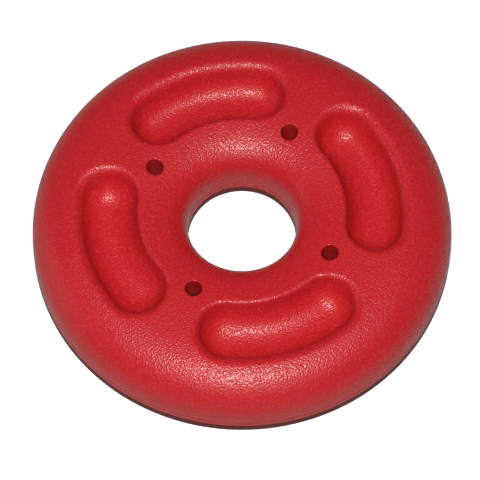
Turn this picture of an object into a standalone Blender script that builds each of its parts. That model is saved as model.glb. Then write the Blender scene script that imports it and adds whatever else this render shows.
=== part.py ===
"""A ring-shaped curling stone: a hollow moulded ring with four finger pockets, clamped over a weighted tray.

Metres, +Z up. The origin is the centre of the underside. The finger pockets lie on the X and Y axes, and
the clamp screws lie on the diagonals between them.
"""

import math

import bmesh
import bpy
from mathutils import Matrix, Vector

MM = 0.001
GAP = 0.3 * MM
QUARTERS = 4
DIAGONAL = math.radians(45)

# Whole ring
OUTER_RADIUS = 110 * MM
OPENING_RADIUS = 28.4 * MM
HEIGHT = 36 * MM
WALL = 3.5 * MM
RING_STEPS = 48

# Crown: two superellipse quarters that meet at the top
CROWN_RADIUS = 74.3 * MM
OUTER_POWER = 2.6
INNER_POWER = 3.5
OUTER_SEGMENTS = 7
INNER_SEGMENTS = 7

# Levels, from the bottom up
SOLE_TOP = 5.2 * MM
PARTING = 9.2 * MM
TRAY_BOTTOM = SOLE_TOP + GAP
TRAY_TOP = PARTING - GAP / 2
CROWN_BOTTOM = PARTING + GAP / 2
LIP_TOP = 14 * MM
BALLAST_BOTTOM = TRAY_TOP + GAP
BALLAST_TOP = 14.4 * MM

# Finger pockets: troughs along an arc, with round ends. From the centreline outwards the slope grows as a
# power of the distance, up to the top of the wall, where a rounded rim takes over.
POCKET_RADIUS = 70.4 * MM
POCKET_HALF_SPAN = math.radians(22.7)
POCKET_REACH = 14.2 * MM
POCKET_STEEPEST = math.radians(78)
POCKET_SLOPE_POWER = 1.5
POCKET_STEPS = 5
FALL_STEPS = 20
RIM_RADIUS = 4.7 * MM
RIM_STEPS = 3
RIM_OVERRUN = 3 * MM
SLOT_SIDE_STEPS = 6
SLOT_END_STEPS = 7

# Clamp screws in their wells
CLAMP_RADIUS = 51.9 * MM
WELL_RADIUS = 4.6 * MM
POST_RADIUS = 7.4 * MM
POST_BOTTOM = 13.1 * MM
WELL_SEAT = 15.4 * MM
CLAMP_HOLE_RADIUS = 2.8 * MM
WASHER_INNER_RADIUS = 2.8 * MM
WASHER_OUTER_RADIUS = 4.3 * MM
WASHER_THICKNESS = 0.8 * MM
CLAMP_HEAD_RADIUS = 4.2 * MM
CLAMP_HEAD_HEIGHT = 2 * MM
CLAMP_HEAD_ROUNDING = 0.5 * MM
CLAMP_SHANK_RADIUS = 2.45 * MM
CLAMP_TIP = 9.9 * MM
CLAMP_TIP_CHAMFER = 0.6 * MM
CLAMP_SOCKET_RADIUS = 1.75 * MM
CLAMP_SOCKET_DEPTH = 1.3 * MM
INSERT_RADIUS = 3.5 * MM
INSERT_BORE_RADIUS = 2.75 * MM
INSERT_TOP = 12.6 * MM
INSERT_BOTTOM = 9.6 * MM
HEX_SIDES = 6
SMALL_SIDES = 16

# Running sole and its screws
SOLE_CHAMFER = 0.8 * MM
SOLE_SCREW_RADIUS = 86 * MM
SOLE_BOSS_RADIUS = 5 * MM
SOLE_BOSS_TOP = 17 * MM
SOLE_PILOT_TOP = 15.5 * MM
SOLE_PILOT_RADIUS = 2.2 * MM
SOLE_HEAD_RADIUS = 3.8 * MM
SOLE_HEAD_RECESS = 0.8 * MM
SOLE_HEAD_HEIGHT = 2.1 * MM
SOLE_SHANK_RADIUS = 1.9 * MM
SOLE_TIP = 15 * MM
SOLE_TIP_LENGTH = 1.5 * MM

# Tray: lips, seals and ribs
LIP_THICKNESS = 2 * MM
SEAL_SECTION_RADIUS = 1.2 * MM
SEAL_SIDES = 6
SEAL_CHANNEL = 2 * (SEAL_SECTION_RADIUS + GAP)
RIB_THICKNESS = 1.6 * MM
RIB_TOP = 13 * MM
RIB_ANGLE = math.radians(35)

# Ballast weights and damping pads
BALLAST_SIDE_GAP = 0.9 * MM
BALLAST_HALF_ANGLE = math.radians(33)
BALLAST_ARC_STEPS = 8
BALLAST_EDGE = 1 * MM
PAD_BOTTOM = BALLAST_TOP + GAP
PAD_INNER_RADIUS = 63 * MM
PAD_OUTER_RADIUS = 77.4 * MM
PAD_HALF_ANGLE = math.radians(18)
PAD_ARC_STEPS = 6
PAD_EDGE = 0.4 * MM

# A cutter passes the surface it opens by this much
OVERRUN = 5 * MM
EMBED = 0.6 * MM
MERGE = 0.01 * MM
SMOOTH_ANGLE = math.radians(35)

# Linear colours, roughness and metallic value
RED_PLASTIC = ((0.50, 0.018, 0.022), 0.45, 0.0)
MAROON_POLYMER = ((0.115, 0.030, 0.034), 0.6, 0.0)
CAST_IRON = ((0.085, 0.088, 0.092), 0.65, 1.0)
BLACK_STEEL = ((0.040, 0.038, 0.040), 0.45, 1.0)
ZINC_STEEL = ((0.56, 0.57, 0.58), 0.35, 1.0)
BRASS = ((0.60, 0.42, 0.16), 0.35, 1.0)
BLACK_RUBBER = ((0.018, 0.018, 0.019), 0.8, 0.0)


def clear_scene():
    for old in list(bpy.data.objects):
        bpy.data.objects.remove(old, do_unlink=True)


def new_collection(name):
    collection = bpy.data.collections.new(name)
    bpy.context.scene.collection.children.link(collection)
    return collection


def new_object(name, mesh, collection):
    made = bpy.data.objects.new(name, mesh)
    collection.objects.link(made)
    return made


def hide_as_cutter(cutter):
    cutter.hide_render = True
    cutter.display_type = "WIRE"
    return cutter


def bmesh_to_mesh(name, bm):
    mesh = bpy.data.meshes.new(name)
    bmesh.ops.recalc_face_normals(bm, faces=bm.faces)
    bm.to_mesh(mesh)
    bm.free()
    return mesh


def add_material(piece, finish):
    """Give the piece a material of its own: colour, roughness and metallic value."""
    colour, roughness, metallic = finish
    material = bpy.data.materials.new(piece.name + "_material")
    material.use_nodes = True
    shader = material.node_tree.nodes["Principled BSDF"]
    shader.inputs["Base Color"].default_value = (*colour, 1.0)
    shader.inputs["Roughness"].default_value = roughness
    shader.inputs["Metallic"].default_value = metallic
    piece.data.materials.append(material)


def add_boolean(piece, cutter, operation="DIFFERENCE"):
    modifier = piece.modifiers.new(cutter.name, "BOOLEAN")
    modifier.operation = operation
    modifier.solver = "EXACT"
    modifier.object = cutter


def add_bevel(piece, width, segments=1):
    modifier = piece.modifiers.new("edge", "BEVEL")
    modifier.width = width
    modifier.segments = segments
    modifier.limit_method = "ANGLE"
    modifier.angle_limit = SMOOTH_ANGLE


def polar(radius, angle):
    return Vector((radius * math.cos(angle), radius * math.sin(angle)))


def diagonal_place(radius, quarter):
    """The point at this radius on one of the four diagonals."""
    place = polar(radius, DIAGONAL + quarter * math.pi / 2)
    return Vector((place.x, place.y, 0))


# Turned shapes

def turned(name, profile, collection, steps=RING_STEPS, closed=True):
    """Turn a profile of (radius, height) points, which runs down its outer side, about the Z axis."""
    mesh = bpy.data.meshes.new(name)
    edges = [(i, i + 1) for i in range(len(profile) - 1)]
    if closed:
        edges.append((len(profile) - 1, 0))
    mesh.from_pydata([(radius, 0, height) for radius, height in profile], edges, [])
    piece = new_object(name, mesh, collection)
    screw = piece.modifiers.new("turn", "SCREW")
    screw.axis = "Z"
    screw.steps = steps
    screw.render_steps = steps
    screw.use_merge_vertices = True
    screw.merge_threshold = MERGE
    screw.use_smooth_shade = True
    return piece


def crown_quarter(reach, power, segments, inset):
    """Points on one superellipse quarter, from the top to the side, moved inwards by the inset."""
    rise = HEIGHT - PARTING
    points = []
    for i in range(segments + 1):
        turn = math.pi / 2 * (1 - i / segments)
        across = abs(reach) * math.cos(turn) ** (2 / power) if i else 0.0
        up = rise * math.sin(turn) ** (2 / power) if i < segments else 0.0
        normal = Vector((
            (across / abs(reach)) ** (power - 1) / abs(reach),
            (up / rise) ** (power - 1) / rise,
        )).normalized()
        side = math.copysign(1, reach)
        radius = CROWN_RADIUS + side * (across - inset * normal.x)
        points.append((radius, PARTING + up - inset * normal.y))
    return points


def crown_profile(inset, bottom):
    """The closed section of the domed ring, or of its hollow when there is an inset."""
    outer = crown_quarter(OUTER_RADIUS - CROWN_RADIUS, OUTER_POWER, OUTER_SEGMENTS, inset)
    inner = crown_quarter(OPENING_RADIUS - CROWN_RADIUS, INNER_POWER, INNER_SEGMENTS, inset)
    feet = [(outer[-1][0], bottom), (inner[-1][0], bottom)]
    if bottom > outer[-1][1]:
        outer.pop()
        inner.pop()
    return outer + feet + list(reversed(inner[1:]))


def crown_height(radius):
    """Height of the crown's surface at a radius."""
    if radius >= CROWN_RADIUS:
        share, power = (radius - CROWN_RADIUS) / (OUTER_RADIUS - CROWN_RADIUS), OUTER_POWER
    else:
        share, power = (CROWN_RADIUS - radius) / (CROWN_RADIUS - OPENING_RADIUS), INNER_POWER
    share = min(share, 1.0)
    return PARTING + (HEIGHT - PARTING) * (1 - share ** power) ** (1 / power)


# Finger pockets

def slot_outline(half_width):
    """The outline of a slot along an arc on the X axis, with round ends, counterclockwise."""
    outline = []
    for i in range(SLOT_SIDE_STEPS):
        angle = POCKET_HALF_SPAN * (2 * i / SLOT_SIDE_STEPS - 1)
        outline.append(polar(POCKET_RADIUS + half_width, angle))
    for i in range(SLOT_END_STEPS):
        centre = polar(POCKET_RADIUS, POCKET_HALF_SPAN)
        outline.append(centre + polar(half_width, POCKET_HALF_SPAN + math.pi * i / SLOT_END_STEPS))
    for i in range(SLOT_SIDE_STEPS):
        angle = POCKET_HALF_SPAN * (1 - 2 * i / SLOT_SIDE_STEPS)
        outline.append(polar(POCKET_RADIUS - half_width, angle))
    for i in range(SLOT_END_STEPS):
        centre = polar(POCKET_RADIUS, -POCKET_HALF_SPAN)
        turn = math.pi - POCKET_HALF_SPAN + math.pi * i / SLOT_END_STEPS
        outline.append(centre + polar(half_width, turn))
    return outline


def pocket_slope(share):
    """Slope of the pocket's wall at a share of the distance from the centreline to the top of the wall."""
    return POCKET_STEEPEST * share ** POCKET_SLOPE_POWER


def pocket_depth(share):
    """Depth of the pocket at that share: the drop round its rim, then the fall of the wall, summed in steps."""
    step = (1 - share) / FALL_STEPS
    falls = [math.tan(pocket_slope(1 - step * (i + 0.5))) for i in range(FALL_STEPS)]
    return RIM_RADIUS * (1 - math.cos(POCKET_STEEPEST)) + POCKET_REACH * step * sum(falls)


def trough_section(grow):
    """(half width, depth) pairs from the top of the pocket's wall down to its floor, grown by a thickness."""
    section = []
    for i in range(POCKET_STEPS):
        share = 1 - i / POCKET_STEPS
        slope = pocket_slope(share)
        wide = POCKET_REACH * share + grow * math.sin(slope)
        section.append((wide, pocket_depth(share) + grow * math.cos(slope)))
    return section


def sink(bm, section, top):
    """Push the slot's top face down into a trough: one inset for each (half width, depth)."""
    outline = [bm.verts.new((point.x, point.y, top)) for point in slot_outline(section[0][0])]
    lid = bm.faces.new(outline)
    grown = bmesh.ops.extrude_face_region(bm, geom=[lid])
    floor = [item for item in grown["geom"] if isinstance(item, bmesh.types.BMFace)][0]
    bmesh.ops.translate(bm, vec=(0, 0, HEIGHT - section[0][1] - top), verts=floor.verts)
    bmesh.ops.recalc_face_normals(bm, faces=bm.faces)
    for (wide, shallow), (narrow, deep) in zip(section, section[1:]):
        bmesh.ops.inset_region(
            bm, faces=[floor], thickness=wide - narrow, depth=deep - shallow, use_even_offset=True)


def pocket_block(name, section, collection):
    """Four troughs, one on each axis, that follow the crown's fall towards its sides."""
    bm = bmesh.new()
    sink(bm, section, HEIGHT + OVERRUN)
    for vert in bm.verts:
        vert.co.z += crown_height(vert.co.xy.length) - HEIGHT
    bmesh.ops.spin(
        bm, geom=bm.verts[:] + bm.edges[:] + bm.faces[:], axis=(0, 0, 1), cent=(0, 0, 0),
        angle=math.pi * 3 / 2, steps=QUARTERS - 1, use_duplicate=True)
    return hide_as_cutter(new_object(name, bmesh_to_mesh(name, bm), collection))


def pocket_section():
    """The open pocket: a rounded rim that starts above the crown, then the wall and the floor."""
    rim = []
    for i in range(1, RIM_STEPS):
        slope = POCKET_STEEPEST * i / RIM_STEPS
        wide = POCKET_REACH + RIM_RADIUS * (math.sin(POCKET_STEEPEST) - math.sin(slope))
        rim.append((wide, RIM_RADIUS * (1 - math.cos(slope))))
    wide, deep = rim[0]
    above = (wide + RIM_OVERRUN, deep - RIM_OVERRUN * math.tan(POCKET_STEEPEST / (RIM_STEPS + 1)))
    return [above] + rim + trough_section(0)


# Round bars and bores

def add_round(bm, centre, bottom, top, radius, sides=SMALL_SIDES):
    """Add a closed upright cylinder, or a prism with few sides."""
    place = Matrix.Translation((centre.x, centre.y, (bottom + top) / 2))
    bmesh.ops.create_cone(
        bm, cap_ends=True, segments=sides, radius1=radius, radius2=radius, depth=top - bottom, matrix=place)


def round_group(name, collection, radius_from_axis, bottom, top, radius, sides=SMALL_SIDES):
    """Four upright cylinders on the diagonals, as one cutter."""
    bm = bmesh.new()
    for quarter in range(QUARTERS):
        add_round(bm, diagonal_place(radius_from_axis, quarter), bottom, top, radius, sides)
    return hide_as_cutter(new_object(name, bmesh_to_mesh(name, bm), collection))


# The three mouldings

def make_upper_shell(parts, cutters):
    shell = turned("upper_shell", crown_profile(0.0, CROWN_BOTTOM), parts)
    hollow = hide_as_cutter(turned("hollow", crown_profile(WALL, CROWN_BOTTOM - OVERRUN), cutters))
    bowls = pocket_block("bowls", trough_section(WALL), cutters)
    posts = round_group("posts", cutters, CLAMP_RADIUS, POST_BOTTOM, HEIGHT + OVERRUN, POST_RADIUS)
    add_boolean(hollow, bowls)
    add_boolean(hollow, posts)
    add_boolean(shell, hollow)
    add_boolean(shell, pocket_block("pockets", pocket_section(), cutters))
    add_boolean(shell, round_group(
        "wells", cutters, CLAMP_RADIUS, WELL_SEAT, HEIGHT + OVERRUN, WELL_RADIUS))
    add_boolean(shell, round_group(
        "clamp_holes", cutters, CLAMP_RADIUS, POST_BOTTOM - OVERRUN, WELL_SEAT + EMBED, CLAMP_HOLE_RADIUS))
    add_material(shell, RED_PLASTIC)


def tray_profile():
    """The closed section of the tray: a flat floor with an upright lip beside each wall of the crown."""
    outer_lip = OUTER_RADIUS - WALL - SEAL_CHANNEL
    inner_lip = OPENING_RADIUS + WALL + SEAL_CHANNEL
    return [
        (OUTER_RADIUS, TRAY_TOP),
        (OUTER_RADIUS, TRAY_BOTTOM),
        (OPENING_RADIUS, TRAY_BOTTOM),
        (OPENING_RADIUS, TRAY_TOP),
        (inner_lip, TRAY_TOP),
        (inner_lip, LIP_TOP),
        (inner_lip + LIP_THICKNESS, LIP_TOP),
        (inner_lip + LIP_THICKNESS, TRAY_TOP),
        (outer_lip - LIP_THICKNESS, TRAY_TOP),
        (outer_lip - LIP_THICKNESS, LIP_TOP),
        (outer_lip, LIP_TOP),
        (outer_lip, TRAY_TOP),
    ]


def make_ribs(cutters):
    """Eight radial ribs between the lips, which hold the ballast weights apart from the bosses."""
    inner = OPENING_RADIUS + WALL + SEAL_CHANNEL + LIP_THICKNESS / 2
    outer = OUTER_RADIUS - WALL - SEAL_CHANNEL - LIP_THICKNESS / 2
    bottom = TRAY_TOP - EMBED
    size = (outer - inner, RIB_THICKNESS, RIB_TOP - bottom)
    centre = ((outer + inner) / 2, 0, (RIB_TOP + bottom) / 2)
    bm = bmesh.new()
    for quarter in range(QUARTERS):
        for side in (-1, 1):
            turn = Matrix.Rotation(quarter * math.pi / 2 + side * RIB_ANGLE, 4, "Z")
            place = turn @ Matrix.Translation(centre) @ Matrix.Diagonal((*size, 1))
            bmesh.ops.create_cube(bm, size=1, matrix=place)
    return hide_as_cutter(new_object("ribs", bmesh_to_mesh("ribs", bm), cutters))


def make_lower_shell(parts, cutters):
    tray = turned("lower_shell", tray_profile(), parts)
    bottom = TRAY_TOP - EMBED
    add_boolean(tray, make_ribs(cutters), "UNION")
    add_boolean(tray, round_group(
        "clamp_bosses", cutters, CLAMP_RADIUS, bottom, POST_BOTTOM - GAP, POST_RADIUS), "UNION")
    add_boolean(tray, round_group(
        "sole_bosses", cutters, SOLE_SCREW_RADIUS, bottom, SOLE_BOSS_TOP, SOLE_BOSS_RADIUS), "UNION")
    add_boolean(tray, round_group(
        "insert_holes", cutters, CLAMP_RADIUS, INSERT_BOTTOM - GAP, POST_BOTTOM + OVERRUN, INSERT_RADIUS + GAP))
    add_boolean(tray, round_group(
        "sole_pilots", cutters, SOLE_SCREW_RADIUS, TRAY_BOTTOM - OVERRUN, SOLE_PILOT_TOP, SOLE_PILOT_RADIUS))
    add_material(tray, RED_PLASTIC)


def make_sole(parts, cutters):
    sole = turned("running_sole", [
        (OUTER_RADIUS, SOLE_TOP),
        (OUTER_RADIUS, SOLE_CHAMFER),
        (OUTER_RADIUS - SOLE_CHAMFER, 0.0),
        (OPENING_RADIUS + SOLE_CHAMFER, 0.0),
        (OPENING_RADIUS, SOLE_CHAMFER),
        (OPENING_RADIUS, SOLE_TOP),
    ], parts)
    bm = bmesh.new()
    for quarter in range(QUARTERS):
        place = diagonal_place(SOLE_SCREW_RADIUS, quarter)
        add_round(bm, place, -OVERRUN, SOLE_TOP + OVERRUN, SOLE_PILOT_RADIUS)
    add_boolean(sole, hide_as_cutter(new_object("sole_holes", bmesh_to_mesh("sole_holes", bm), cutters)))
    bm = bmesh.new()
    depth = SOLE_HEAD_RECESS + SOLE_HEAD_HEIGHT
    for quarter in range(QUARTERS):
        place = diagonal_place(SOLE_SCREW_RADIUS, quarter)
        flare = (SOLE_HEAD_RADIUS - SOLE_SHANK_RADIUS) / SOLE_HEAD_HEIGHT
        mouth = SOLE_HEAD_RADIUS + GAP + flare * (SOLE_HEAD_RECESS + EMBED)
        bmesh.ops.create_cone(
            bm, cap_ends=True, segments=SMALL_SIDES, radius1=mouth, radius2=SOLE_SHANK_RADIUS + GAP,
            depth=depth + EMBED, matrix=Matrix.Translation(place + Vector((0, 0, (depth - EMBED) / 2))))
    add_boolean(sole, hide_as_cutter(new_object("countersinks", bmesh_to_mesh("countersinks", bm), cutters)))
    add_material(sole, MAROON_POLYMER)


# Seals, weights and pads

def make_seals(parts):
    centre_height = TRAY_TOP + GAP + SEAL_SECTION_RADIUS
    reach = WALL + SEAL_CHANNEL / 2
    radii = {"outer_seal_ring": OUTER_RADIUS - reach, "inner_seal_ring": OPENING_RADIUS + reach}
    for name, radius in radii.items():
        section = []
        for i in range(SEAL_SIDES):
            offset = polar(SEAL_SECTION_RADIUS, -2 * math.pi * i / SEAL_SIDES)
            section.append((radius + offset.x, centre_height + offset.y))
        add_material(turned(name, section, parts), BLACK_RUBBER)


def arc_plate(name, inner, outer, half_angle, steps, bottom, top):
    """A flat plate between two radii, centred on the X axis."""
    bm = bmesh.new()
    angles = [half_angle * (2 * i / steps - 1) for i in range(steps + 1)]
    outline = [polar(outer, angle) for angle in angles] + [polar(inner, angle) for angle in reversed(angles)]
    face = bm.faces.new([bm.verts.new((point.x, point.y, bottom)) for point in outline])
    grown = bmesh.ops.extrude_face_region(bm, geom=[face])
    raised = [item for item in grown["geom"] if isinstance(item, bmesh.types.BMVert)]
    bmesh.ops.translate(bm, vec=(0, 0, top - bottom), verts=raised)
    return bmesh_to_mesh(name, bm)


def make_plates(parts, name, mesh, edge, finish):
    """One plate under each finger pocket."""
    for quarter in range(QUARTERS):
        plate = new_object(f"{name}_{quarter + 1}", mesh.copy(), parts)
        plate.rotation_euler.z = quarter * math.pi / 2
        add_bevel(plate, edge)
        add_material(plate, finish)


def make_ballast(parts):
    inner = OPENING_RADIUS + WALL + SEAL_CHANNEL + LIP_THICKNESS + BALLAST_SIDE_GAP
    outer = OUTER_RADIUS - WALL - SEAL_CHANNEL - LIP_THICKNESS - BALLAST_SIDE_GAP
    mesh = arc_plate(
        "ballast_weight", inner, outer, BALLAST_HALF_ANGLE, BALLAST_ARC_STEPS, BALLAST_BOTTOM, BALLAST_TOP)
    make_plates(parts, "ballast_weight", mesh, BALLAST_EDGE, CAST_IRON)


def make_pads(parts):
    top = HEIGHT - pocket_depth(0) - WALL - GAP
    mesh = arc_plate(
        "damping_pad", PAD_INNER_RADIUS, PAD_OUTER_RADIUS, PAD_HALF_ANGLE, PAD_ARC_STEPS, PAD_BOTTOM, top)
    make_plates(parts, "damping_pad", mesh, PAD_EDGE, BLACK_RUBBER)


# Fasteners

def make_clamp_screws(parts, cutters):
    under_head = WELL_SEAT + GAP + WASHER_THICKNESS + GAP
    top = under_head + CLAMP_HEAD_HEIGHT
    profile = [
        (0.0, top),
        (CLAMP_HEAD_RADIUS - CLAMP_HEAD_ROUNDING, top),
        (CLAMP_HEAD_RADIUS, top - CLAMP_HEAD_ROUNDING),
        (CLAMP_HEAD_RADIUS, under_head),
        (CLAMP_SHANK_RADIUS, under_head),
        (CLAMP_SHANK_RADIUS, CLAMP_TIP + CLAMP_TIP_CHAMFER),
        (CLAMP_SHANK_RADIUS - CLAMP_TIP_CHAMFER, CLAMP_TIP),
        (0.0, CLAMP_TIP),
    ]
    socket_bottom = top - CLAMP_SOCKET_DEPTH
    sockets = round_group(
        "sockets", cutters, CLAMP_RADIUS, socket_bottom, top + OVERRUN, CLAMP_SOCKET_RADIUS, HEX_SIDES)
    for quarter in range(QUARTERS):
        screw = turned(f"clamp_screw_{quarter + 1}", profile, parts, SMALL_SIDES, closed=False)
        screw.location = diagonal_place(CLAMP_RADIUS, quarter)
        add_boolean(screw, sockets)
        add_material(screw, BLACK_STEEL)


def make_clamp_washers(parts):
    bottom = WELL_SEAT + GAP
    profile = [
        (WASHER_OUTER_RADIUS, bottom + WASHER_THICKNESS),
        (WASHER_OUTER_RADIUS, bottom),
        (WASHER_INNER_RADIUS, bottom),
        (WASHER_INNER_RADIUS, bottom + WASHER_THICKNESS),
    ]
    for quarter in range(QUARTERS):
        washer = turned(f"clamp_washer_{quarter + 1}", profile, parts, SMALL_SIDES)
        washer.location = diagonal_place(CLAMP_RADIUS, quarter)
        add_material(washer, BLACK_STEEL)


def make_threaded_inserts(parts):
    profile = [
        (INSERT_RADIUS, INSERT_TOP),
        (INSERT_RADIUS, INSERT_BOTTOM),
        (INSERT_BORE_RADIUS, INSERT_BOTTOM),
        (INSERT_BORE_RADIUS, INSERT_TOP),
    ]
    for quarter in range(QUARTERS):
        insert = turned(f"threaded_insert_{quarter + 1}", profile, parts, SMALL_SIDES)
        insert.location = diagonal_place(CLAMP_RADIUS, quarter)
        add_material(insert, BRASS)


def make_sole_screws(parts):
    shoulder = SOLE_HEAD_RECESS + SOLE_HEAD_HEIGHT
    profile = [
        (0.0, SOLE_TIP),
        (SOLE_SHANK_RADIUS, SOLE_TIP - SOLE_TIP_LENGTH),
        (SOLE_SHANK_RADIUS, shoulder),
        (SOLE_HEAD_RADIUS, SOLE_HEAD_RECESS),
        (0.0, SOLE_HEAD_RECESS),
    ]
    for quarter in range(QUARTERS):
        screw = turned(f"sole_screw_{quarter + 1}", profile, parts, SMALL_SIDES, closed=False)
        screw.location = diagonal_place(SOLE_SCREW_RADIUS, quarter)
        add_material(screw, ZINC_STEEL)


def main():
    clear_scene()
    parts = new_collection("curling_stone")
    cutters = new_collection("cutters")
    make_upper_shell(parts, cutters)
    make_lower_shell(parts, cutters)
    make_sole(parts, cutters)
    make_seals(parts)
    make_ballast(parts)
    make_pads(parts)
    make_clamp_screws(parts, cutters)
    make_clamp_washers(parts)
    make_threaded_inserts(parts)
    make_sole_screws(parts)


main()
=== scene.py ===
import math

import bmesh
import bpy
import numpy as np
from mathutils import Matrix, Vector


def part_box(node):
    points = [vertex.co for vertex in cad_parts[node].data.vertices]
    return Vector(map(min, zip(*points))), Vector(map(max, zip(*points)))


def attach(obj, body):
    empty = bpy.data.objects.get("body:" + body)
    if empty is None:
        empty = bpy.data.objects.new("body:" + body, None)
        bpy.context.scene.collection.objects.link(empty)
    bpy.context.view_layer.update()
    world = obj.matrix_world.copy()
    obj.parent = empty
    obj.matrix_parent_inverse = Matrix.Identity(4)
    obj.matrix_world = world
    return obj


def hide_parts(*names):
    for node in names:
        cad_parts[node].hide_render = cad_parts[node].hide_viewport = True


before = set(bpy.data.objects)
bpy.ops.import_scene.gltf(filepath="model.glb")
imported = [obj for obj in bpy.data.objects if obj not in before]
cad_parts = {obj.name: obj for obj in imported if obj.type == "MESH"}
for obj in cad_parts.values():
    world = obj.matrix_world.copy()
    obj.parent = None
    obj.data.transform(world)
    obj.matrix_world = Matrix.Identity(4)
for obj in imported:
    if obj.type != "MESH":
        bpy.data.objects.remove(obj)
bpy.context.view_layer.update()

MM = 0.001
GAP = 0.3 * MM
QUARTERS = 4
DIAGONAL = math.radians(45)
FULL_TURN = 2 * math.pi


def low(node):
    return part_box(node)[0]


def high(node):
    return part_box(node)[1]


# The ring's levels and radii, as the frame has them
OUTER_RADIUS = high("upper_shell").x
HEIGHT = high("upper_shell").z
SHELL_BOTTOM = low("upper_shell").z
SOLE_TOP = high("running_sole").z
TRAY_BOTTOM = low("lower_shell").z
TRAY_TOP = SHELL_BOTTOM - GAP
PARTING = (SHELL_BOTTOM + TRAY_TOP) / 2
OPENING_RADIUS = 28.4 * MM
WALL = 3.5 * MM
EDGE = 0.35 * MM

# Crown: two superellipse quarters that meet at the top
CROWN_RADIUS = 74.3 * MM
OUTER_POWER = 2.6
INNER_POWER = 3.5
RISE = HEIGHT - PARTING

# Finger pockets: troughs along an arc, with round ends. The outer side is wider and has a rounder rim.
POCKET_RADIUS = 70.4 * MM
POCKET_HALF_SPAN = math.radians(22.7)
POCKET_DEPTH = 16.2 * MM
POCKET_SLOPE_POWER = 1.5
INNER_HALF_WIDTH = 18.1 * MM
OUTER_HALF_WIDTH = 19.6 * MM
INNER_RIM = 2.35 * MM
OUTER_RIM = 7.0 * MM
STEEPEST_BOUNDS = (math.radians(20), math.radians(84))
HALVINGS = 40
SECTION_SAMPLES = 400
SECTION_LAYERS = 9

# Clamp screws, in their wells, and the inserts that take them
CLAMP_RADIUS = (low("clamp_screw_1") + high("clamp_screw_1")).xy.length / 2
WELL_RADIUS = 4.6 * MM
WELL_ROUNDING = 0.35 * MM
WELL_SEAT = low("clamp_washer_1").z - GAP
POST_RADIUS = 7.4 * MM
POST_BOTTOM = 13.1 * MM
CLAMP_HOLE_RADIUS = 2.8 * MM
CLAMP_HEAD_RADIUS = 4.2 * MM
CLAMP_HEAD_HEIGHT = 2 * MM
CLAMP_SHANK_RADIUS = 2.45 * MM
CLAMP_CHAMFER = 0.5 * MM
CLAMP_PITCH = 0.8 * MM
CLAMP_THREAD_DEPTH = 0.4 * MM
CLAMP_SOCKET_WIDTH = 3 * MM
CLAMP_SOCKET_DEPTH = 1.3 * MM
WASHER_RADII = (2.8 * MM, 4.3 * MM)
INSERT_RADIUS = 3.5 * MM
INSERT_BORE_RADIUS = 2.75 * MM
INSERT_GROOVE = 0.4 * MM
INSERT_THREAD_DEPTH = 0.2 * MM
KNURL_DEPTH = 0.12 * MM
HEAD_FLUTES = 36
INSERT_FLUTES = 28

# Sole screws and the bosses that take them
SOLE_SCREW_RADIUS = (low("sole_screw_1") + high("sole_screw_1")).xy.length / 2
SOLE_BOSS_RADIUS = 5 * MM
SOLE_BOSS_TOP = 17 * MM
SOLE_PILOT_TOP = 15.5 * MM
SOLE_PILOT_RADIUS = 2.2 * MM
SOLE_HEAD_RADIUS = 3.8 * MM
SOLE_HEAD_RECESS = low("sole_screw_1").z
SOLE_HEAD_HEIGHT = 2.1 * MM
SOLE_SHANK_RADIUS = 1.9 * MM
SOLE_PITCH = 1.6 * MM
SOLE_THREAD_DEPTH = 0.5 * MM
SOLE_POINT_LENGTH = 1.5 * MM
SOLE_EDGE = 0.9 * MM
DRIVE_RADIUS = 1.6 * MM
DRIVE_LOBES = 6
DRIVE_WAVE = 0.16
DRIVE_DEPTH = 1.5 * MM

# Tray
LIP_TOP = 14 * MM
LIP_THICKNESS = 2 * MM
SEAL_RADIUS = 1.2 * MM
SEAL_CHANNEL = 2 * (SEAL_RADIUS + GAP)
RIB_THICKNESS = 1.6 * MM
RIB_TOP = 13 * MM
RIB_ANGLE = math.radians(35)

# Ballast weights and damping pads
BALLAST_SIDE_GAP = 0.9 * MM
BALLAST_HALF_ANGLE = math.radians(33)
BALLAST_EDGE = 1 * MM
PAD_RADII = (63 * MM, 77.4 * MM)
PAD_HALF_ANGLE = math.radians(18)
PAD_EDGE = 0.4 * MM

# Fineness of the surfaces
CROWN_COLUMNS = 600
CROWN_ROWS = 128
HOLLOW_COLUMNS = 200
HOLLOW_ROWS = 44
TURN_STEPS = 256
ROUND_STEPS = 48
FLUTED_STEPS = 3 * ROUND_STEPS
CORNER_STEPS = 4
THREAD_ROWS = 8
PLATE_STEPS = 32
ANGLE_SAMPLES = 4000
WALL_EXTRA = 1.2
WALL_START = 9 * MM
WALL_MARGIN = 1 * MM
ENDS_EXTRA = 0.8
ENDS_FROM = math.radians(22)
ENDS_TO = math.radians(38)

OVERRUN = 5 * MM
EMBED = 0.6 * MM
MERGE = 0.001 * MM
SHARP = math.radians(40)


# Small helpers

def new_object(name, data):
    made = bpy.data.objects.new(name, data)
    bpy.context.scene.collection.objects.link(made)
    return made


def mesh_from(name, bm):
    mesh = bpy.data.meshes.new(name)
    bmesh.ops.recalc_face_normals(bm, faces=bm.faces)
    bm.to_mesh(mesh)
    bm.free()
    return mesh


def settle(piece):
    """Turn the piece's modifiers into its mesh, and shade it smooth between sharp edges."""
    bpy.context.view_layer.update()
    shape = piece.evaluated_get(bpy.context.evaluated_depsgraph_get())
    mesh = bpy.data.meshes.new_from_object(shape)
    piece.modifiers.clear()
    piece.data = mesh
    mesh.shade_smooth()
    mesh.set_sharp_from_angle(angle=SHARP)


def combine(piece, others, operation="DIFFERENCE"):
    """Cut other solids out of a piece, or join them to it, and remove them."""
    for other in others:
        modifier = piece.modifiers.new(other.name, "BOOLEAN")
        modifier.operation = operation
        modifier.solver = "MANIFOLD"
        modifier.object = other
    settle(piece)
    for other in others:
        bpy.data.objects.remove(other)


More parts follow.
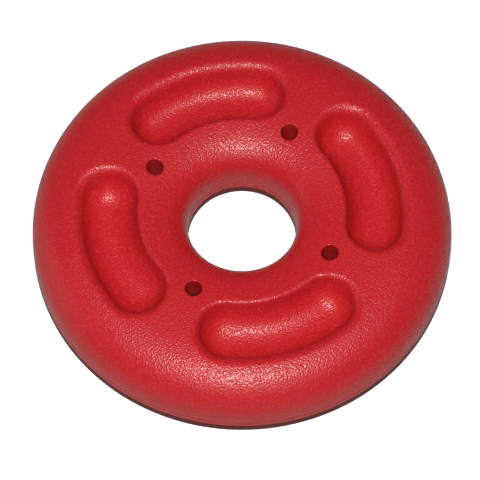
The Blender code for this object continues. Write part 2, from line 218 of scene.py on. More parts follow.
def place_on(piece, centre):
    """Move a solid's mesh, so that its object stays at the origin."""
    piece.data.transform(Matrix.Translation(centre))
    return piece


def polar(radius, angle):
    return Vector((radius * math.cos(angle), radius * math.sin(angle)))


def diagonal_place(radius, quarter):
    return polar(radius, DIAGONAL + quarter * FULL_TURN / QUARTERS).to_3d()


def four(maker, radius):
    """One solid on each diagonal."""
    return [place_on(maker(quarter), diagonal_place(radius, quarter)) for quarter in range(QUARTERS)]


def rounded(corners):
    """An outline from (radius, height, rounding) corners."""
    outline = []
    for i, (radius, height, rounding) in enumerate(corners):
        corner = Vector((radius, height))
        if not rounding:
            outline.append((radius, height))
            continue
        back = (Vector(corners[i - 1][:2]) - corner).normalized()
        on = (Vector(corners[(i + 1) % len(corners)][:2]) - corner).normalized()
        half = back.angle(on) / 2
        centre = corner + (back + on).normalized() * rounding / math.sin(half)
        start = corner + back * rounding / math.tan(half) - centre
        end = corner + on * rounding / math.tan(half) - centre
        for step in range(CORNER_STEPS + 1):
            share = step / CORNER_STEPS
            spoke = (start * (1 - share) + end * share).normalized() * rounding
            outline.append(tuple(centre + spoke))
    return outline


def lathe(name, rows, columns=ROUND_STEPS, closed=False, shift=None):
    """A solid turned about the Z axis from (radius, height) rows that run down its outer side.

    shift(angle, height, radius) moves each point in or out, for threads and knurls.
    """
    angle = np.arange(columns) * FULL_TURN / columns
    radius, height = (np.repeat(np.array(values)[:, None], columns, 1) for values in zip(*rows))
    if shift:
        radius = radius + shift(angle[None, :], height, radius)
    points = np.stack([radius * np.cos(angle), radius * np.sin(angle), height], -1)
    index = np.arange(radius.size).reshape(radius.shape)
    if closed:
        index = np.vstack([index, index[:1]])
    beside = np.roll(index, -1, axis=1)
    faces = np.stack([index[:-1], index[1:], beside[1:], beside[:-1]], -1).reshape(-1, 4)
    mesh = bpy.data.meshes.new(name)
    mesh.from_pydata(points.reshape(-1, 3).tolist(), [], faces.tolist())
    bm = bmesh.new()
    bm.from_mesh(mesh)
    bmesh.ops.remove_doubles(bm, verts=bm.verts, dist=MERGE)
    bm.to_mesh(mesh)
    bm.free()
    mesh.shade_smooth()
    mesh.set_sharp_from_angle(angle=SHARP)
    return new_object(name, mesh)


def finish(piece, slot, *nodes):
    """Let the piece ride on the ring in place of its CAD nodes, with a slot's material."""
    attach(piece, "root")
    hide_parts(*nodes)
    piece.data.materials.clear()
    piece.data.materials.append(MATERIALS[slot])


# The crown's surface

def crown_quarter(reach, power, inset):
    """Points on one superellipse quarter, from its foot at this reach to the crown's top, moved inwards."""
    turn = np.linspace(0, math.pi / 2, SECTION_SAMPLES)
    side = np.cos(turn) ** (2 / power)
    side[-1] = 0
    up = np.sin(turn) ** (2 / power)
    lean = side ** (power - 1) / abs(reach)
    lift = up ** (power - 1) / RISE
    size = np.hypot(lean, lift)
    radius = CROWN_RADIUS + reach * side - math.copysign(inset, reach) * lean / size
    return radius, PARTING + RISE * up - inset * lift / size


def crown_section(inset):
    """The crown's section from its outer foot over the top to its inner foot."""
    outer = crown_quarter(OUTER_RADIUS - CROWN_RADIUS, OUTER_POWER, inset)
    inner = crown_quarter(OPENING_RADIUS - CROWN_RADIUS, INNER_POWER, inset)
    return tuple(np.concatenate([a, b[-2::-1]]) for a, b in zip(outer, inner))


def crown_height(radius):
    """Height of the crown at a radius, before the pockets are sunk."""
    outer = np.clip((radius - CROWN_RADIUS) / (OUTER_RADIUS - CROWN_RADIUS), 0, 1)
    inner = np.clip((CROWN_RADIUS - radius) / (CROWN_RADIUS - OPENING_RADIUS), 0, 1)
    outer_level = (1 - outer ** OUTER_POWER) ** (1 / OUTER_POWER)
    inner_level = (1 - inner ** INNER_POWER) ** (1 / INNER_POWER)
    return PARTING + RISE * np.minimum(outer_level, inner_level)


# The finger pockets

def wall_rise(steepest, reach):
    """The pocket's wall from its centreline outwards, with a slope that grows as a power of the distance."""
    share = np.linspace(0, 1, SECTION_SAMPLES)
    slope = steepest * share ** POCKET_SLOPE_POWER
    grade = np.tan(slope)
    rise = np.concatenate([[0], np.cumsum(grade[1:] + grade[:-1]) / 2]) * reach / (SECTION_SAMPLES - 1)
    return share * reach, slope, rise


def pocket_section(side, grow):
    """(distance, depth) points of the pocket's section, from its centreline to its rim, grown by a thickness.

    The side is 0 towards the ring's centre and 1 away from it.
    """
    half_width = INNER_HALF_WIDTH + (OUTER_HALF_WIDTH - INNER_HALF_WIDTH) * side
    rim = INNER_RIM + (OUTER_RIM - INNER_RIM) * side
    gentle, steep = STEEPEST_BOUNDS
    for _ in range(HALVINGS):
        steepest = (gentle + steep) / 2
        distance, slope, rise = wall_rise(steepest, half_width - rim * math.sin(steepest))
        if rim * (1 - math.cos(steepest)) + rise[-1] > POCKET_DEPTH:
            steep = steepest
        else:
            gentle = steepest
    round_slope = np.linspace(steepest, 0, SECTION_SAMPLES)[1:]
    distance = np.concatenate([distance, half_width - rim * np.sin(round_slope)])
    depth = np.concatenate([POCKET_DEPTH - rise, rim * (1 - np.cos(round_slope))])
    slope = np.concatenate([slope, round_slope])
    distance = distance + grow * np.sin(slope)
    depth = depth + grow * np.cos(slope)
    outwards = distance >= np.maximum.accumulate(distance)
    return distance[outwards], depth[outwards]


def pocket_place(x, y):
    """Distance in plan from the nearest pocket's centreline, and the side of it, from 0 inner to 1 outer."""
    radius = np.hypot(x, y)
    angle = np.arctan2(y, x)
    quarter = FULL_TURN / QUARTERS
    angle = np.abs(angle - quarter * np.round(angle / quarter))
    end = polar(POCKET_RADIUS, POCKET_HALF_SPAN)
    past_x = radius * np.cos(angle) - end.x
    past_y = radius * np.sin(angle) - end.y
    past = np.hypot(past_x, past_y)
    radial = past_x * math.cos(POCKET_HALF_SPAN) + past_y * math.sin(POCKET_HALF_SPAN)
    outwards = radial / np.maximum(past, MERGE)
    beside = angle < POCKET_HALF_SPAN
    distance = np.where(beside, np.abs(radius - POCKET_RADIUS), past)
    facing = np.where(beside, np.sign(radius - POCKET_RADIUS), outwards)
    return distance, (1 + facing) / 2


def pocket_depth(x, y, grow):
    """Depth of the pockets below the crown, or of their undersides when they are grown by the wall."""
    distance, side = pocket_place(x, y)
    sections = [pocket_section(share, grow) for share in np.linspace(0, 1, SECTION_LAYERS)]
    layers = np.stack([np.interp(distance, *section, right=grow) for section in sections])
    layer = np.clip((side * (SECTION_LAYERS - 1)).astype(int), 0, SECTION_LAYERS - 2)
    part = side * (SECTION_LAYERS - 1) - layer
    below = np.take_along_axis(layers, layer[None], 0)[0]
    above = np.take_along_axis(layers, layer[None] + 1, 0)[0]
    return np.maximum(below * (1 - part) + above * part, grow)


# The upper shell

def spread(values, weights, count):
    """Count values, closest together where the weights are large."""
    steps = np.diff(values) * (weights[1:] + weights[:-1]) / 2
    travelled = np.concatenate([[0], np.cumsum(steps)])
    return np.interp(np.linspace(0, travelled[-1], count), travelled, values)


def crown_rows(inset, bottom, count):
    """(radius, height) rows round the section down to the bottom level, finer over the pockets' walls."""
    r, z = crown_section(inset)
    above = z > bottom
    r, z = r[above], z[above]
    length = np.concatenate([[0], np.cumsum(np.hypot(np.diff(r), np.diff(z)))])
    offset = r - POCKET_RADIUS
    inner_wall = (offset < -WALL_START) & (offset > -INNER_HALF_WIDTH - WALL_MARGIN)
    outer_wall = (offset > WALL_START) & (offset < OUTER_HALF_WIDTH + WALL_MARGIN)
    at = spread(length, 1 + WALL_EXTRA * (inner_wall | outer_wall), count)
    return np.interp(at, length, r), np.interp(at, length, z)


def crown_angles(columns):
    """Angles of the columns, finer round the ends of the pockets."""
    angle = np.linspace(0, math.pi / 2, ANGLE_SAMPLES)
    to_axis = np.minimum(angle, math.pi / 2 - angle)
    ends = (to_axis > ENDS_FROM) & (to_axis < ENDS_TO)
    quarter = spread(angle, 1 + ENDS_EXTRA * ends, columns // QUARTERS + 1)[:-1]
    return np.concatenate([quarter + i * math.pi / 2 for i in range(QUARTERS)])


def crown_solid(name, inset, foot, rows, columns):
    """The crown with its pockets, moved inwards by an inset, as one closed body between two walls.

    The foot holds (inset from the wall, height) points, from the wall down to the bottom.
    """
    r, z = crown_rows(inset, foot[0][1], rows)
    foot_in, foot_z = np.array(foot).T
    r = np.concatenate([(OUTER_RADIUS - inset - foot_in)[::-1], r, OPENING_RADIUS + inset + foot_in])
    z = np.concatenate([foot_z[::-1], z, foot_z])
    angle = crown_angles(columns)
    x, y = np.outer(r, np.cos(angle)), np.outer(r, np.sin(angle))
    roof = crown_height(np.hypot(x, y)) - pocket_depth(x, y, inset)
    level = np.where(z[:, None] > foot[0][1], np.minimum(z[:, None], roof), z[:, None])
    index = np.arange(x.size).reshape(x.shape)
    on = np.roll(index, -1, axis=0)
    faces = np.stack([index, np.roll(index, -1, axis=1), np.roll(on, -1, axis=1), on], -1).reshape(-1, 4)
    mesh = bpy.data.meshes.new(name)
    mesh.from_pydata(np.stack([x, y, level], -1).reshape(-1, 3).tolist(), [], faces.tolist())
    mesh.shade_smooth()
    return new_object(name, mesh)


def bar(name, bottom, top, radius):
    """An upright round bar."""
    return lathe(name, [(0, top), (radius, top), (radius, bottom), (0, bottom)])


def well_cutter(quarter):
    """A screw well with a slightly rounded mouth that follows the crown, and the clamp hole under it."""
    mouth = float(crown_height(CLAMP_RADIUS))
    profile = [(0, mouth + OVERRUN), (WELL_RADIUS + WELL_ROUNDING, mouth + OVERRUN)]
    for step in range(CORNER_STEPS + 1):
        turn = math.pi / 2 * step / CORNER_STEPS
        profile.append((
            WELL_RADIUS + WELL_ROUNDING * (1 - math.sin(turn)),
            mouth - WELL_ROUNDING * (1 - math.cos(turn)),
        ))
    profile += [
        (WELL_RADIUS, mouth - OVERRUN / 2),
        (WELL_RADIUS, WELL_SEAT),
        (CLAMP_HOLE_RADIUS, WELL_SEAT),
        (CLAMP_HOLE_RADIUS, POST_BOTTOM - OVERRUN),
        (0, POST_BOTTOM - OVERRUN),
    ]
    cutter = place_on(lathe(f"well_{quarter}", profile), diagonal_place(CLAMP_RADIUS, quarter))
    for vert in cutter.data.vertices:
        if vert.co.z > mouth - OVERRUN:
            vert.co.z += float(crown_height(vert.co.xy.length)) - mouth
    return cutter


def make_upper_shell():
    foot = []
    for step in range(CORNER_STEPS + 1):
        turn = math.pi / 2 * step / CORNER_STEPS
        foot.append((EDGE * (1 - math.cos(turn)), SHELL_BOTTOM + EDGE * (1 - math.sin(turn))))
    shell = crown_solid("upper_shell_fine", 0.0, foot, CROWN_ROWS, CROWN_COLUMNS)
    hollow = crown_solid(
        "hollow", WALL, [(0.0, PARTING + EDGE), (0.0, SHELL_BOTTOM - OVERRUN)], HOLLOW_ROWS, HOLLOW_COLUMNS)
    combine(hollow, four(
        lambda quarter: bar(f"post_{quarter}", POST_BOTTOM, HEIGHT + OVERRUN, POST_RADIUS), CLAMP_RADIUS))
    combine(shell, [hollow] + [well_cutter(quarter) for quarter in range(QUARTERS)])
    finish(shell, "red_plastic", "upper_shell")


# The lower shell

def make_ribs():
    """Eight radial ribs between the lips."""
    inner = OPENING_RADIUS + WALL + SEAL_CHANNEL + LIP_THICKNESS / 2
    outer = OUTER_RADIUS - WALL - SEAL_CHANNEL - LIP_THICKNESS / 2
    bottom = TRAY_TOP - EMBED
    made = []
    for quarter in range(QUARTERS):
        for side in (-1, 1):
            bm = bmesh.new()
            bmesh.ops.create_cube(bm, size=1, matrix=Matrix.Diagonal((
                outer - inner, RIB_THICKNESS, RIB_TOP - bottom, 1)))
            upper = [edge for edge in bm.edges if all(vert.co.z > 0 for vert in edge.verts)]
            bmesh.ops.bevel(bm, geom=upper, offset=EDGE, segments=2, profile=0.5, affect="EDGES")
            rib = new_object("rib", mesh_from("rib", bm))
            turn = Matrix.Rotation(quarter * FULL_TURN / QUARTERS + side * RIB_ANGLE, 4, "Z")
            rib.data.transform(turn @ Matrix.Translation(((outer + inner) / 2, 0, (RIB_TOP + bottom) / 2)))
            made.append(rib)
    return made


def boss(top, radius):
    """A maker of upright bosses with a rounded top."""
    profile = rounded([
        (0, top, 0), (radius, top, EDGE), (radius, TRAY_TOP - EMBED, 0), (0, TRAY_TOP - EMBED, 0)])
    return lambda quarter: lathe(f"boss_{quarter}", profile)


def make_lower_shell():
    outer_lip = OUTER_RADIUS - WALL - SEAL_CHANNEL
    inner_lip = OPENING_RADIUS + WALL + SEAL_CHANNEL
    tray = lathe("lower_shell_fine", rounded([
        (OUTER_RADIUS, TRAY_TOP, EDGE),
        (OUTER_RADIUS, TRAY_BOTTOM, EDGE),
        (OPENING_RADIUS, TRAY_BOTTOM, EDGE),
        (OPENING_RADIUS, TRAY_TOP, EDGE),
        (inner_lip, TRAY_TOP, 0),
        (inner_lip, LIP_TOP, EDGE),
        (inner_lip + LIP_THICKNESS, LIP_TOP, EDGE),
        (inner_lip + LIP_THICKNESS, TRAY_TOP, EDGE),
        (outer_lip - LIP_THICKNESS, TRAY_TOP, EDGE),
        (outer_lip - LIP_THICKNESS, LIP_TOP, EDGE),
        (outer_lip, LIP_TOP, EDGE),
        (outer_lip, TRAY_TOP, 0),
    ]), TURN_STEPS, closed=True)
    joined = make_ribs()
    joined += four(boss(POST_BOTTOM - GAP, POST_RADIUS), CLAMP_RADIUS)
    joined += four(boss(SOLE_BOSS_TOP, SOLE_BOSS_RADIUS), SOLE_SCREW_RADIUS)
    combine(tray, joined, "UNION")
    insert_bottom = low("threaded_insert_1").z - GAP
    cut = four(lambda quarter: bar(
        f"insert_hole_{quarter}", insert_bottom, POST_BOTTOM + OVERRUN, INSERT_RADIUS + GAP), CLAMP_RADIUS)
    cut += four(lambda quarter: bar(
        f"pilot_{quarter}", TRAY_BOTTOM - OVERRUN, SOLE_PILOT_TOP, SOLE_PILOT_RADIUS), SOLE_SCREW_RADIUS)
    combine(tray, cut)
    finish(tray, "red_plastic", "lower_shell")


# The running sole

def make_sole():
    sole = lathe("running_sole_fine", rounded([
        (OUTER_RADIUS, SOLE_TOP, EDGE),
        (OUTER_RADIUS, 0, SOLE_EDGE),
        (OPENING_RADIUS, 0, SOLE_EDGE),
        (OPENING_RADIUS, SOLE_TOP, EDGE),
    ]), TURN_STEPS, closed=True)
    flare = (SOLE_HEAD_RADIUS - SOLE_SHANK_RADIUS) / SOLE_HEAD_HEIGHT
    profile = [
        (0, SOLE_TOP + OVERRUN),
        (SOLE_PILOT_RADIUS, SOLE_TOP + OVERRUN),
        (SOLE_PILOT_RADIUS, SOLE_HEAD_RECESS + SOLE_HEAD_HEIGHT),
        (SOLE_HEAD_RADIUS + GAP, SOLE_HEAD_RECESS),
        (SOLE_HEAD_RADIUS + GAP + flare * (SOLE_HEAD_RECESS + EMBED), -EMBED),
        (0, -EMBED),
    ]
    combine(sole, four(lambda quarter: lathe(f"countersink_{quarter}", profile), SOLE_SCREW_RADIUS))
    # The sole's dark maroon is partly painted shade for the shaded band under the ring's lower edge
    finish(sole, "maroon_polymer", "running_sole")


# Seals, weights and pads

def make_seals():
    reach = WALL + SEAL_CHANNEL / 2
    centre_height = TRAY_TOP + GAP + SEAL_RADIUS
    radii = {"outer_seal_ring": OUTER_RADIUS - reach, "inner_seal_ring": OPENING_RADIUS + reach}
    sides = CORNER_STEPS * QUARTERS
    for name, radius in radii.items():
        offsets = [polar(SEAL_RADIUS, -FULL_TURN * i / sides) for i in range(sides)]
        section = [(radius + offset.x, centre_height + offset.y) for offset in offsets]
        finish(lathe(name + "_fine", section, TURN_STEPS, closed=True), "black_rubber", name)


def make_plates(name, inner, outer, half_angle, edge, slot):
    """A plate with rounded edges between two radii, under each finger pocket."""
    for quarter in range(QUARTERS):
        node = f"{name}_{quarter + 1}"
        bm = bmesh.new()
        angles = np.linspace(-half_angle, half_angle, PLATE_STEPS) + quarter * FULL_TURN / QUARTERS
        outline = [polar(outer, angle) for angle in angles] + [polar(inner, angle) for angle in angles[::-1]]
        face = bm.faces.new([bm.verts.new((*point, low(node).z)) for point in outline])
        grown = bmesh.ops.extrude_face_region(bm, geom=[face])
        raised = [item for item in grown["geom"] if isinstance(item, bmesh.types.BMVert)]
        bmesh.ops.translate(bm, vec=(0, 0, high(node).z - low(node).z), verts=raised)
        plate = new_object(node + "_fine", mesh_from(node, bm))
        bevel = plate.modifiers.new("edge", "BEVEL")
        bevel.width = edge
        bevel.segments = CORNER_STEPS - 1
        bevel.angle_limit = SHARP
        settle(plate)
        finish(plate, slot, node)


def make_ballast_and_pads():
    reach = WALL + SEAL_CHANNEL + LIP_THICKNESS + BALLAST_SIDE_GAP
    inner, outer = OPENING_RADIUS + reach, OUTER_RADIUS - reach
    make_plates("ballast_weight", inner, outer, BALLAST_HALF_ANGLE, BALLAST_EDGE, "cast_iron")
    make_plates("damping_pad", *PAD_RADII, PAD_HALF_ANGLE, PAD_EDGE, "black_rubber")


# Fasteners

def thread_tooth(angle, height, pitch):
    """0 on a right-handed thread's crest and 1 at its root."""
    return np.abs(((height / pitch - angle / FULL_TURN) % 1) * 2 - 1)


def thread_rows(radius, top, bottom, pitch):
    """Rows down a threaded side."""
    count = round((top - bottom) / pitch * THREAD_ROWS)
    return [(radius, height) for height in np.linspace(top, bottom, count + 1)]


def lobed_socket(bottom, top):
    """A cutter for a drive recess with six lobes."""
    def shift(angle, height, radius):
        return radius * DRIVE_WAVE * np.cos(DRIVE_LOBES * angle)
    return lathe("drive", [(0, top), (DRIVE_RADIUS, top), (DRIVE_RADIUS, bottom), (0, bottom)], shift=shift)


def hexagon_socket(bottom, top):
    bm = bmesh.new()
    radius = CLAMP_SOCKET_WIDTH / math.sqrt(3)
    bmesh.ops.create_cone(
        bm, cap_ends=True, segments=6, radius1=radius, radius2=radius, depth=top - bottom,
        matrix=Matrix.Translation((0, 0, (top + bottom) / 2)))
    return new_object("socket", mesh_from("socket", bm))


def make_clamp_screw(quarter):
    """A low cap screw with a fluted head, a hexagon socket and a thread."""
    node = f"clamp_screw_{quarter + 1}"
    top, tip = high(node).z, low(node).z
    under_head = top - CLAMP_HEAD_HEIGHT
    rows = rounded([
        (0, top, 0),
        (CLAMP_HEAD_RADIUS, top, CLAMP_CHAMFER),
        (CLAMP_HEAD_RADIUS, under_head, EDGE / 2),
        (CLAMP_SHANK_RADIUS, under_head, 0),
    ])
    rows += thread_rows(CLAMP_SHANK_RADIUS, under_head - GAP, tip + CLAMP_CHAMFER, CLAMP_PITCH)
    rows += [(CLAMP_SHANK_RADIUS - CLAMP_CHAMFER, tip), (0, tip)]

    def shift(angle, height, radius):
        on_side = (radius > CLAMP_HEAD_RADIUS - MERGE) & (height < top - CLAMP_CHAMFER / 2)
        flute = (0.5 - 0.5 * np.cos(HEAD_FLUTES * angle)) * on_side
        on_shank = np.abs(radius - CLAMP_SHANK_RADIUS) < MERGE
        run_out = np.clip((under_head - height) / CLAMP_PITCH, 0, 1) * on_shank
        return -KNURL_DEPTH * flute - CLAMP_THREAD_DEPTH * thread_tooth(angle, height, CLAMP_PITCH) * run_out
    screw = lathe(node + "_fine", rows, FLUTED_STEPS, shift=shift)
    combine(screw, [hexagon_socket(top - CLAMP_SOCKET_DEPTH, top + OVERRUN)])
    place_on(screw, diagonal_place(CLAMP_RADIUS, quarter))
    finish(screw, "black_steel", node)


def make_clamp_washer(quarter):
    node = f"clamp_washer_{quarter + 1}"
    inner, outer = WASHER_RADII
    rounding = EDGE / 2
    washer = lathe(node + "_fine", rounded([
        (outer, high(node).z, rounding),
        (outer, low(node).z, rounding),
        (inner, low(node).z, rounding),
        (inner, high(node).z, rounding),
    ]), closed=True)
    place_on(washer, diagonal_place(CLAMP_RADIUS, quarter))
    finish(washer, "black_steel", node)


def make_threaded_insert(quarter):
    """A brass insert with a knurled, grooved outside and a threaded bore."""
    node = f"threaded_insert_{quarter + 1}"
    top, bottom = high(node).z, low(node).z
    middle = (top + bottom) / 2
    rows = rounded([
        (INSERT_RADIUS, top, EDGE / 2),
        (INSERT_RADIUS, middle + INSERT_GROOVE, 0),
        (INSERT_RADIUS - INSERT_GROOVE, middle + INSERT_GROOVE, 0),
        (INSERT_RADIUS - INSERT_GROOVE, middle - INSERT_GROOVE, 0),
        (INSERT_RADIUS, middle - INSERT_GROOVE, 0),
        (INSERT_RADIUS, bottom, EDGE / 2),
        (INSERT_BORE_RADIUS, bottom, 0),
        (INSERT_BORE_RADIUS, top, 0),
    ])[:-2]
    rows += thread_rows(INSERT_BORE_RADIUS, top, bottom, CLAMP_PITCH)[::-1]

    def shift(angle, height, radius):
        flute = 0.5 - 0.5 * np.cos(INSERT_FLUTES * angle)
        knurl = -KNURL_DEPTH * flute * (radius > INSERT_RADIUS - MERGE)
        in_bore = radius < INSERT_BORE_RADIUS + MERGE
        return knurl - INSERT_THREAD_DEPTH * (1 - thread_tooth(angle, height, CLAMP_PITCH)) * in_bore
    insert = lathe(node + "_fine", rows, FLUTED_STEPS, closed=True, shift=shift)
    place_on(insert, diagonal_place(CLAMP_RADIUS, quarter))
    finish(insert, "brass", node)


def make_sole_screw(quarter):
    """A countersunk screw, head down, with a coarse thread and a pointed tip."""
    node = f"sole_screw_{quarter + 1}"
    bottom, tip = low(node).z, high(node).z
    shoulder = bottom + SOLE_HEAD_HEIGHT
    point = tip - SOLE_POINT_LENGTH
    rows = [(0, tip)]
    rows += thread_rows(SOLE_SHANK_RADIUS, point, shoulder, SOLE_PITCH)
    rows += [(SOLE_HEAD_RADIUS, bottom + GAP / 2), (SOLE_HEAD_RADIUS - GAP / 2, bottom), (0, bottom)]

    def shift(angle, height, radius):
        on_shank = np.abs(radius - SOLE_SHANK_RADIUS) < MERGE
        run_out = np.clip((height - shoulder) / SOLE_PITCH, 0, 1) * on_shank
        return -SOLE_THREAD_DEPTH * thread_tooth(angle, height, SOLE_PITCH) * run_out
    screw = lathe(node + "_fine", rows, shift=shift)
    combine(screw, [lobed_socket(bottom - OVERRUN, bottom + DRIVE_DEPTH)])
    place_on(screw, diagonal_place(SOLE_SCREW_RADIUS, quarter))
    finish(screw, "zinc_steel", node)


# Materials

class Finish:
    """A Principled material and short ways to add the nodes that its textures need."""

    def __init__(self, name, colour, roughness, metallic=0.0):
        self.material = bpy.data.materials.new(name)
        self.material.use_nodes = True
        self.nodes = self.material.node_tree.nodes
        self.links = self.material.node_tree.links
        self.shader = self.nodes["Principled BSDF"]
        self.colour = colour
        self.shader.inputs["Base Color"].default_value = (*colour, 1)
        self.shader.inputs["Roughness"].default_value = roughness
        self.shader.inputs["Metallic"].default_value = metallic
        self.place = self.nodes.new("ShaderNodeTexCoord").outputs["Object"]

    def noise(self, scale, detail, stretch=(1, 1, 1)):
        mapping = self.nodes.new("ShaderNodeMapping")
        mapping.inputs["Scale"].default_value = stretch
        self.links.new(self.place, mapping.inputs["Vector"])
        made = self.nodes.new("ShaderNodeTexNoise")
        made.inputs["Scale"].default_value = scale
        made.inputs["Detail"].default_value = detail
        self.links.new(mapping.outputs["Vector"], made.inputs["Vector"])
        return made.outputs["Fac"]

    def cells(self, scale, smoothness):
        made = self.nodes.new("ShaderNodeTexVoronoi")
        made.feature = "SMOOTH_F1"
        made.inputs["Scale"].default_value = scale
        made.inputs["Smoothness"].default_value = smoothness
        self.links.new(self.place, made.inputs["Vector"])
        return made.outputs["Distance"]

    def ranged(self, value, least, most, start=0.3, end=0.7):
        """A texture's value between start and end, brought into another range."""
        made = self.nodes.new("ShaderNodeMapRange")
        made.inputs["From Min"].default_value = start
        made.inputs["From Max"].default_value = end
        made.inputs["To Min"].default_value = least
        made.inputs["To Max"].default_value = most
        self.links.new(value, made.inputs["Value"])
        return made.outputs["Result"]

    def vary_colour(self, value, darkest):
        """Darken the colour where the value is low."""
        self.mix_colours(self.ranged(value, 0, 1), [darkest * part for part in self.colour], self.colour)

    def mix_colours(self, value, low_colour, high_colour):
        """Go from one colour to the other as the value goes from 0 to 1."""
        made = self.nodes.new("ShaderNodeMix")
        made.data_type = "RGBA"
        factor, _, _, _, _, _, dark, light = made.inputs[:8]
        dark.default_value = (*low_colour, 1)
        light.default_value = (*high_colour, 1)
        self.links.new(value, factor)
        self.links.new(made.outputs[2], self.shader.inputs["Base Color"])

    def vary_roughness(self, value, least, most):
        self.links.new(self.ranged(value, least, most), self.shader.inputs["Roughness"])

    def bump(self, *layers, socket="Normal"):
        """Layers of (height, distance), one on top of the other."""
        normal = None
        for height, distance in layers:
            made = self.nodes.new("ShaderNodeBump")
            made.inputs["Strength"].default_value = 1.0
            made.inputs["Distance"].default_value = distance
            self.links.new(height, made.inputs["Height"])
            if normal:
                self.links.new(normal, made.inputs["Normal"])
            normal = made.outputs["Normal"]
        self.links.new(normal, self.shader.inputs[socket])


# The red plastic: the grain's cells to the metre, its heights under and on the coat, and the distances from a
# cell's middle, in cells, over which the red pales to a painted glint, a pale speck painted in as a highlight
RED = (0.547, 0.0152, 0.0185)
RED_BETWEEN_PAINTED_GLINTS = (0.53, 0.0115, 0.0145)
RED_PAINTED_GLINT = (0.60, 0.028, 0.033)
PAINTED_GLINT_DISTANCES = (0.45, 0.8)
GRAIN_CELLS = 1100
GRAIN_SMOOTHNESS = 0.5
GRAIN_HEIGHT = 0.00025
COAT_GRAIN_HEIGHT = 0.00015


def red_plastic():
    """Moulded plastic with a coarse, glinting grain, and pale specks painted towards its cells' edges as
    glints.
    """
    made = Finish("red_plastic", RED, 0.37)
    made.shader.inputs["Specular IOR Level"].default_value = 0.31
    made.shader.inputs["Coat Weight"].default_value = 0.17
    made.shader.inputs["Coat Roughness"].default_value = 0.145
    grain = made.cells(GRAIN_CELLS, GRAIN_SMOOTHNESS)
    # Painted highlight: pale specks painted into the base colour towards the grain's cell edges, as glints
    made.mix_colours(made.ranged(grain, 0, 1, *PAINTED_GLINT_DISTANCES), RED_BETWEEN_PAINTED_GLINTS, RED_PAINTED_GLINT)
    made.bump((grain, GRAIN_HEIGHT))
    made.bump((grain, COAT_GRAIN_HEIGHT), socket="Coat Normal")
    return made.material


def maroon_polymer():
    """Dark low-friction polymer with fine scuffs; its dark maroon is partly its own colour and partly painted
    shade along the ring's lower edge.
    """
    # Partly painted shade: the maroon is set dark so that the band under the ring's edge looks shaded
    made = Finish("maroon_polymer", (0.15, 0.014, 0.016), 0.5)
    made.shader.inputs["Specular IOR Level"].default_value = 0.2
    made.vary_colour(made.noise(45, 3), 0.8)
    made.vary_roughness(made.noise(160, 3), 0.42, 0.6)
    made.bump((made.noise(1400, 2), 0.00006), (made.noise(60, 4, (1, 14, 1)), 0.00012))
    return made.material


def cast_iron():
    """Dark iron with a sand-cast skin."""
    made = Finish("cast_iron", (0.085, 0.088, 0.092), 0.65, 1.0)
    made.vary_colour(made.noise(120, 4), 0.55)
    made.vary_roughness(made.noise(300, 3), 0.5, 0.8)
    made.bump((made.noise(900, 4), 0.0002))
    return made.material


def black_steel():
    """Black oxide on steel."""
    made = Finish("black_steel", (0.040, 0.038, 0.040), 0.57, 1.0)
    made.vary_roughness(made.noise(700, 3), 0.5, 0.65)
    made.bump((made.noise(2500, 2), 0.00002))
    return made.material


def zinc_steel():
    """Zinc plate with a faint clouding."""
    made = Finish("zinc_steel", (0.56, 0.57, 0.58), 0.35, 1.0)
    made.vary_colour(made.noise(500, 3), 0.86)
    made.vary_roughness(made.noise(900, 2), 0.26, 0.44)
    made.bump((made.noise(3000, 2), 0.00001))
    return made.material


def brass():
    """Turned brass, slightly tarnished."""
    made = Finish("brass", (0.60, 0.42, 0.16), 0.34, 1.0)
    made.vary_colour(made.noise(600, 3), 0.75)
    made.vary_roughness(made.noise(1200, 2), 0.26, 0.42)
    made.bump((made.noise(400, 2, (1, 1, 12)), 0.00001))
    return made.material


def black_rubber():
    """Matte rubber with a dusty bloom."""
    made = Finish("black_rubber", (0.022, 0.022, 0.023), 0.8)
    made.vary_colour(made.noise(250, 3), 0.6)
    made.vary_roughness(made.noise(500, 2), 0.7, 0.9)
    made.bump((made.noise(1600, 2), 0.00004))
    return made.material


MATERIALS = {
    maker.__name__: maker()
    for maker in (red_plastic, maroon_polymer, cast_iron, black_steel, zinc_steel, brass, black_rubber)
}


# Floor, light and camera

CAMERA_AZIMUTH = math.radians(-16.3)
CAMERA_ELEVATION = math.radians(63.56)
CAMERA_DISTANCE = 20 * OUTER_RADIUS
CAMERA_REACH = 50
LENS = 312.6
SHIFT = (-0.0041, -0.0007)
LAMPS = {
    # name: azimuth and elevation in degrees, distance and size in metres, power in watts
    "key": (-2, 70.7, 1.6, 0.16, 23.0),
    "front_fill": (0, 40, 2.4, 1.8, 5.5),
    "left_fill": (-95, 15, 2, 0.9, 3.2),
}
WORLD_STRENGTH = 0.05
BACKDROP = 0.85
FLOOR_SIZE = 12
FLOOR_CLEARANCE = 0.1 * MM
FLOOR_COLOUR = (1.0, 1.0, 1.0)
FLOOR_ROUGHNESS = 0.9
FLOOR_BOUNCE = 0.5
FLOOR_GLOW = 0.4


def floor_paper():
    """White paper that glows a little to the camera, and throws less light back at the ring than it shows."""
    made = Finish("floor_paper", FLOOR_COLOUR, FLOOR_ROUGHNESS)
    seen = made.nodes.new("ShaderNodeLightPath").outputs["Is Camera Ray"]
    made.mix_colours(seen, [FLOOR_BOUNCE] * 3, FLOOR_COLOUR)
    glow = made.nodes.new("ShaderNodeMath")
    glow.operation = "MULTIPLY"
    glow.inputs[1].default_value = FLOOR_GLOW
    made.links.new(seen, glow.inputs[0])
    made.links.new(glow.outputs[0], made.shader.inputs["Emission Strength"])
    made.shader.inputs["Emission Color"].default_value = (1, 1, 1, 1)
    return made.material


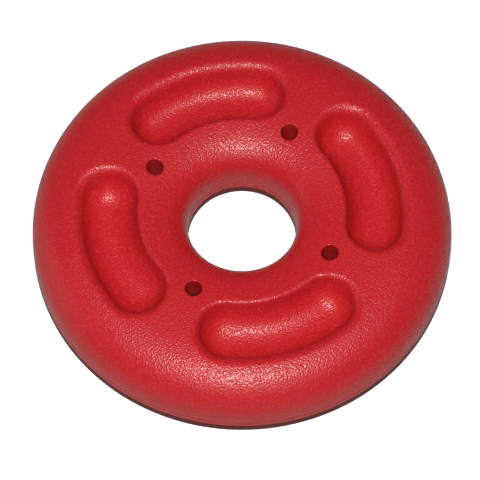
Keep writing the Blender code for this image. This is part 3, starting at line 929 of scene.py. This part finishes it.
def make_floor():
    bm = bmesh.new()
    bmesh.ops.create_grid(bm, x_segments=1, y_segments=1, size=FLOOR_SIZE)
    floor = new_object("floor", mesh_from("floor", bm))
    floor.location.z = -FLOOR_CLEARANCE
    floor.data.materials.append(floor_paper())


def aim(thing, azimuth, elevation, distance):
    """Place a camera or lamp at these angles round the ring, looking at its centre."""
    back = Vector((
        math.sin(azimuth) * math.cos(elevation),
        -math.cos(azimuth) * math.cos(elevation),
        math.sin(elevation),
    ))
    thing.location = back * distance
    thing.rotation_euler = back.to_track_quat("Z", "Y").to_euler()


def make_camera():
    camera = new_object("camera", bpy.data.cameras.new("camera"))
    camera.data.lens = LENS
    camera.data.shift_x, camera.data.shift_y = SHIFT
    camera.data.clip_end = CAMERA_REACH
    aim(camera, CAMERA_AZIMUTH, CAMERA_ELEVATION, CAMERA_DISTANCE)
    bpy.context.scene.camera = camera


def make_lamp(name, azimuth, elevation, distance, size, power):
    """A round soft light, its azimuth counted from the camera's."""
    lamp = new_object(name, bpy.data.lights.new(name, "AREA"))
    lamp.data.shape = "DISK"
    lamp.data.size = size
    lamp.data.energy = power
    aim(lamp, CAMERA_AZIMUTH + math.radians(azimuth), math.radians(elevation), distance)


def make_world():
    """A dim white surround, which the camera sees as a pale backdrop."""
    world = bpy.data.worlds.new("studio")
    bpy.context.scene.world = world
    world.use_nodes = True
    nodes, links = world.node_tree.nodes, world.node_tree.links
    background = nodes["Background"]
    background.inputs["Color"].default_value = (1, 1, 1, 1)
    path = nodes.new("ShaderNodeLightPath")
    strength = nodes.new("ShaderNodeMapRange")
    strength.inputs["To Min"].default_value = WORLD_STRENGTH
    strength.inputs["To Max"].default_value = BACKDROP
    links.new(path.outputs["Is Camera Ray"], strength.inputs["Value"])
    links.new(strength.outputs["Result"], background.inputs["Strength"])
    bpy.context.scene.view_settings.view_transform = "Standard"


make_upper_shell()
make_lower_shell()
make_sole()
make_seals()
make_ballast_and_pads()
for number in range(QUARTERS):
    make_clamp_screw(number)
    make_clamp_washer(number)
    make_threaded_insert(number)
    make_sole_screw(number)
make_floor()
make_camera()
for name, values in LAMPS.items():
    make_lamp(name, *values)
make_world()
